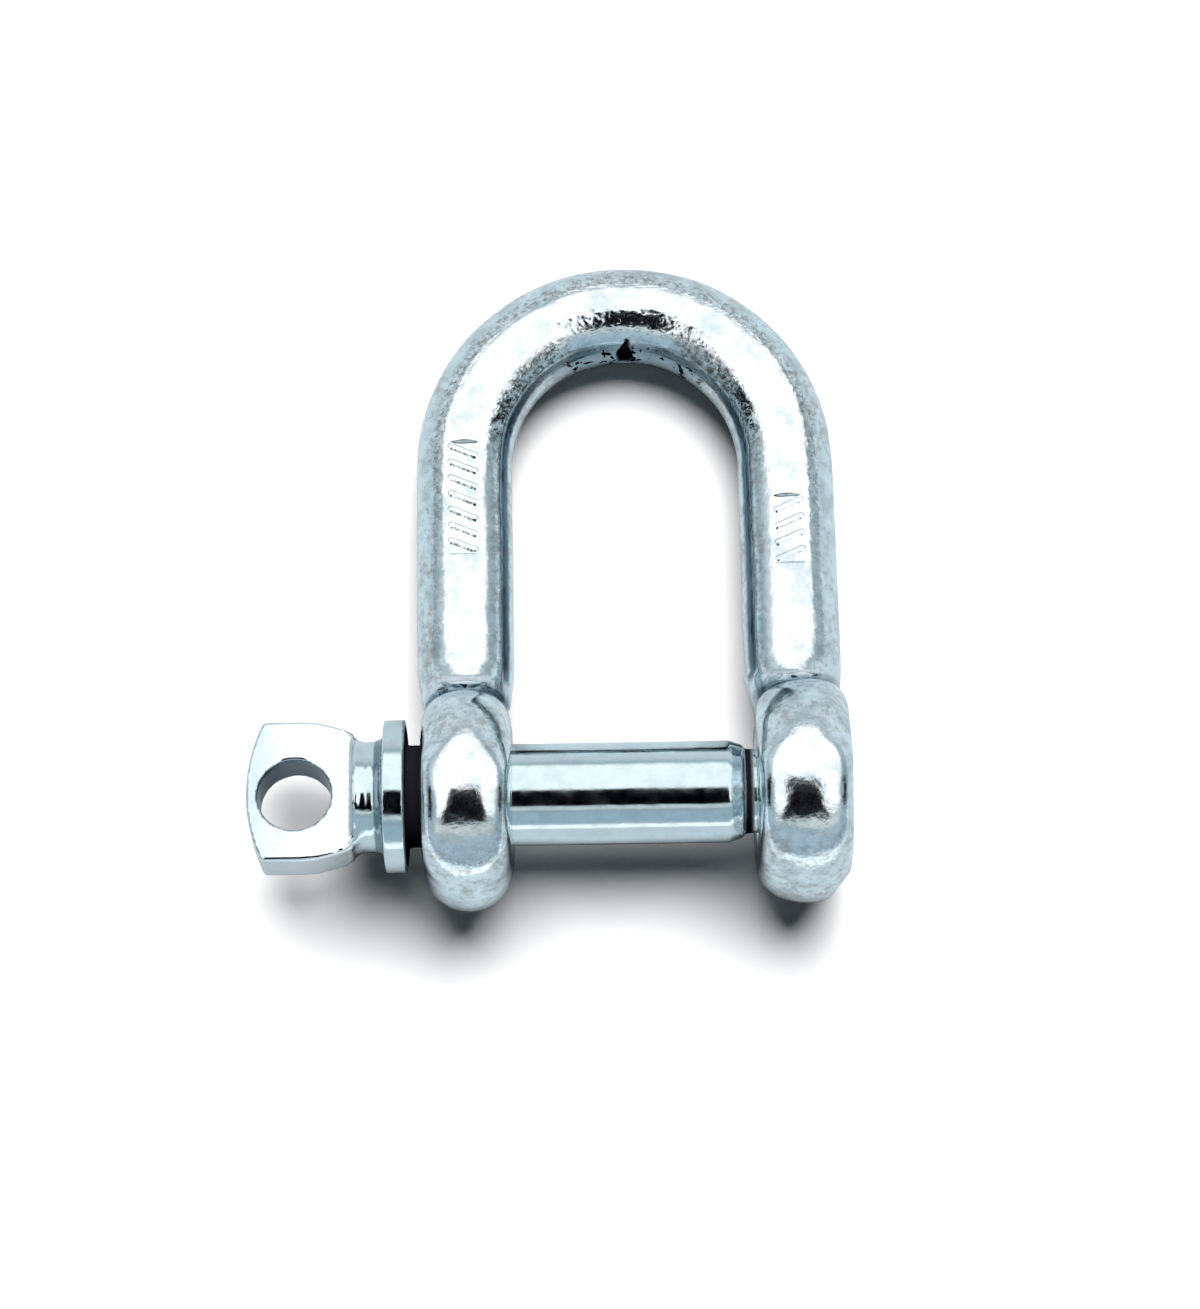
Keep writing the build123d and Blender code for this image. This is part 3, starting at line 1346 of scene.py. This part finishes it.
@dataclass(frozen=True)
class SkyZone:
    """A patch of the studio round the object, by its angles from straight up, in degrees.

    start and end are angles towards +Y, centre is the angle towards +X. The patch widens or narrows
    evenly from its start to its end.
    """

    start: float
    end: float
    half_width_start: float
    half_width_end: float
    centre: float
    softness: float
    colour: tuple

    def mask(self, wiring: Wiring, forward: Socket, sideways: Socket) -> Socket:
        """Mask of the patch.

        Args:
            wiring: Ways to place nodes.
            forward: Angle towards +Y in degrees.
            sideways: Angle towards +X in degrees.

        Returns:
            1 inside the patch, 0 outside.
        """
        entered = wiring.ease(forward, self.start - self.softness, self.start + self.softness)
        left = wiring.ease(forward, self.end + self.softness, self.end - self.softness)
        taper = {
            "Value": forward,
            "From Min": self.start,
            "From Max": self.end,
            "To Min": self.half_width_start,
            "To Max": self.half_width_end,
        }
        half_width = wiring.node("ShaderNodeMapRange", taper).outputs["Result"]
        off = wiring.maths("ABSOLUTE", wiring.maths("SUBTRACT", sideways, self.centre))
        past = wiring.maths("SUBTRACT", off, half_width)
        return wiring.product(entered, left, wiring.ease(past, self.softness, -self.softness))


@dataclass(frozen=True)
class SkyDisc:
    """A round patch of the studio, by its angles from straight up, in degrees.

    softness is the width of its edge as a share of its radius.
    """

    forward: float
    sideways: float
    forward_radius: float
    sideways_radius: float
    softness: float
    colour: tuple

    def mask(self, wiring: Wiring, forward: Socket, sideways: Socket) -> Socket:
        """Mask of the patch.

        Args:
            wiring: Ways to place nodes.
            forward: Angle towards +Y in degrees.
            sideways: Angle towards +X in degrees.

        Returns:
            1 inside the patch, 0 outside.
        """
        squares = []
        for angle, centre, radius in (
            (forward, self.forward, self.forward_radius),
            (sideways, self.sideways, self.sideways_radius),
        ):
            share = wiring.maths("DIVIDE", wiring.maths("SUBTRACT", angle, centre), radius)
            squares.append(wiring.product(share, share))
        reach = wiring.maths("SQRT", wiring.maths("ADD", *squares))
        return wiring.ease(reach, 1.0 + self.softness, 1.0 - self.softness)


@dataclass(frozen=True)
class SoftLamp:
    """A large soft lamp that lights the floor and casts the object's shadow.

    forward and sideways are its angles from straight up towards +Y and +X, spread its apparent size,
    all in degrees.
    """

    name: str
    strength: float
    forward: float
    sideways: float
    spread: float

    def build(self) -> None:
        """Place the lamp."""
        light = bpy.data.lights.new(self.name, "SUN")
        light.energy = self.strength
        light.angle = radians(self.spread)
        forward, sideways = radians(self.forward), radians(self.sideways)
        towards = Vector(
            (sin(sideways), cos(sideways) * sin(forward), cos(sideways) * cos(forward))
        )
        lamp = place_object(self.name, light)
        lamp.rotation_mode = "QUATERNION"
        lamp.rotation_quaternion = towards.to_track_quat("Z", "Y")
        lamp.visible_glossy = False


@dataclass
class Studio:
    """The floor, the light and the camera."""

    floor_half: float = 3.0
    floor_roughness: float = 0.9
    floor_colour: tuple = (0.92, 0.925, 0.93, 1.0)
    mirrored_floor_colour: tuple = (0.43, 0.465, 0.49, 1.0)
    bounced_floor_colour: tuple = (0.03, 0.035, 0.04, 1.0)
    camera_elevation: float = 82.0
    camera_roll: float = -0.938
    camera_distance: float = 0.3088
    camera_target: tuple = (-0.002652, 0.010971, 0.0)
    clip_start: float = 0.001
    image_width: float = 1200.0
    focal_pixels: float = 3931.0
    sensor_width: float = 36.0
    background: tuple = (1.0, 1.0, 1.0, 1.0)
    lamps: tuple = (
        SoftLamp("key_lamp", 6.1, 29.0, 5.0, 46.0),
        SoftLamp("fill_lamp", 0.03, 0.0, 0.0, 170.0),
    )
    bands: tuple = (
        SkyBand(-180.0, -101.0, (0.90, 0.95, 1.0, 1.0)),
        SkyBand(-97.0, -82.0, (1.35, 1.38, 1.40, 1.0)),
        SkyBand(-76.0, -52.0, (0.43, 0.54, 0.61, 1.0)),
        SkyBand(-44.0, 62.0, (0.40, 0.48, 0.52, 1.0)),
        SkyBand(80.0, 80.0, (0.72, 0.76, 0.80, 1.0)),
        SkyBand(100.0, 180.0, (0.84, 0.88, 0.92, 1.0)),
    )
    zones: tuple = (
        SkyZone(1.0, 60.0, 48.0, 44.0, -14.0, 7.0, (0.64, 0.70, 0.73, 1.0)),
        SkyZone(-26.0, 24.0, 42.0, 47.0, 2.0, 5.0, (1.22, 1.23, 1.22, 1.0)),
        SkyDisc(20.0, 2.0, 43.0, 49.0, 0.10, (1.28, 1.29, 1.30, 1.0)),
        SkyZone(-41.0, -34.0, 44.0, 44.0, 0.0, 2.0, (0.72, 0.77, 0.76, 1.0)),
        SkyZone(-33.0, 4.0, 22.0, 9.0, -3.0, 2.5, (0.0, 0.0, 0.002, 1.0)),
        SkyZone(-32.0, 14.0, 11.0, 11.0, 70.0, 3.5, (0.0, 0.0, 0.002, 1.0)),
        SkyZone(-32.0, 14.0, 11.0, 11.0, -68.0, 3.5, (0.0, 0.0, 0.002, 1.0)),
    )

    def build(self) -> None:
        """Make the floor, the world, the lamps and the camera."""
        self.build_floor()
        self.build_world()
        for lamp in self.lamps:
            lamp.build()
        self.build_camera()
        log.info("studio: floor, light and camera")

    def build_floor(self) -> None:
        """Make the pale floor under the object."""
        floor_z, half = CAD_BOX[0][2], self.floor_half
        corners = [(x * half, y * half, floor_z) for x, y in ((-1, -1), (1, -1), (1, 1), (-1, 1))]
        mesh = bpy.data.meshes.new("floor")
        mesh.from_pydata(corners, [], [(0, 1, 2, 3)])
        floor = place_object("floor", mesh)
        material = bpy.data.materials.new("pale_floor")
        material.use_nodes = True
        shader = material.node_tree.nodes["Principled BSDF"]
        wiring = Wiring(material.node_tree)
        path = wiring.node("ShaderNodeLightPath").outputs
        colour = wiring.blend(path["Is Glossy Ray"], self.floor_colour, self.mirrored_floor_colour)
        bounced = wiring.maths("MINIMUM", path["Diffuse Depth"], 1.0)
        colour = wiring.blend(bounced, colour, self.bounced_floor_colour)
        wiring.feed(shader.inputs["Base Color"], colour)
        shader.inputs["Roughness"].default_value = self.floor_roughness
        shader.inputs["Specular IOR Level"].default_value = 0.0
        mesh.materials.append(material)

    def build_world(self) -> None:
        """Make the soft studio round the object, white where the camera sees it."""
        world = bpy.data.worlds.new("studio")
        world.use_nodes = True
        world.node_tree.nodes.clear()
        wiring = Wiring(world.node_tree)
        direction = wiring.node("ShaderNodeTexCoord").outputs["Generated"]
        x, y, z = wiring.node("ShaderNodeSeparateXYZ", {0: direction}).outputs
        forward = wiring.maths("DEGREES", wiring.maths("ARCTAN2", y, z))
        sideways = wiring.maths("DEGREES", wiring.maths("ARCSINE", x))
        colour: object = self.bands[0].colour
        for lower, upper in zip(self.bands, self.bands[1:]):
            colour = wiring.blend(wiring.ease(forward, lower.end, upper.start), colour, upper.colour)
        for zone in self.zones:
            colour = wiring.blend(zone.mask(wiring, forward, sideways), colour, zone.colour)
        seen = wiring.node("ShaderNodeLightPath").outputs["Is Camera Ray"]
        colour = wiring.blend(seen, colour, self.background)
        surface = wiring.node("ShaderNodeBackground", {"Color": colour})
        wiring.node("ShaderNodeOutputWorld", {"Surface": surface.outputs["Background"]})
        world.cycles_visibility.diffuse = False
        bpy.context.scene.world = world

    def build_camera(self) -> None:
        """Place the camera at the photograph's angle and distance."""
        elevation, roll = radians(self.camera_elevation), radians(self.camera_roll)
        towards = Vector((0.0, -cos(elevation), sin(elevation)))
        right = Vector((1.0, 0.0, 0.0))
        up = Vector((0.0, sin(elevation), cos(elevation)))
        rolled_right = cos(roll) * right + sin(roll) * up
        rolled_up = -sin(roll) * right + cos(roll) * up
        lens = bpy.data.cameras.new("camera")
        lens.sensor_fit = "HORIZONTAL"
        lens.sensor_width = self.sensor_width
        lens.lens = self.sensor_width * self.focal_pixels / self.image_width
        lens.clip_start = self.clip_start
        camera = place_object("camera", lens)
        place = Matrix((rolled_right, rolled_up, towards)).transposed().to_4x4()
        place.translation = Vector(self.camera_target) + self.camera_distance * towards
        camera.matrix_world = place
        bpy.context.scene.camera = camera


def main() -> None:
    """Build the shackle, dress it and set up the studio."""
    logging.basicConfig(level=logging.INFO, format="%(name)s %(message)s")
    sizes = ShackleSizes.from_record(frame["record"])
    groups = {"bloom": PlatingBloom(), "rust": RustFlecks(), "grain": FineGrain()}
    bow = Bow(sizes).build()
    bow.attach("bow", "bow_zinc", ZincFinish("bow_zinc_plating").build(groups))
    pin = ScrewPin(sizes).build()
    pin_finish = ZincFinish(
        "pin_zinc_plating",
        bright=(0.66, 0.78, 0.81, 1.0),
        dull=(0.46, 0.55, 0.58, 1.0),
        roughness=0.07,
        bloom=0.4,
        rust_share=0.08,
        mottle=0.35,
        grain_height=0.003,
        dimple_height=0.003,
    )
    pin.attach("pin", "pin_zinc", pin_finish.build(groups))
    Studio().build()
    bpy.context.scene.view_settings.view_transform = "Standard"
    bpy.context.view_layer.update()


if __name__ == "__main__":
    main()
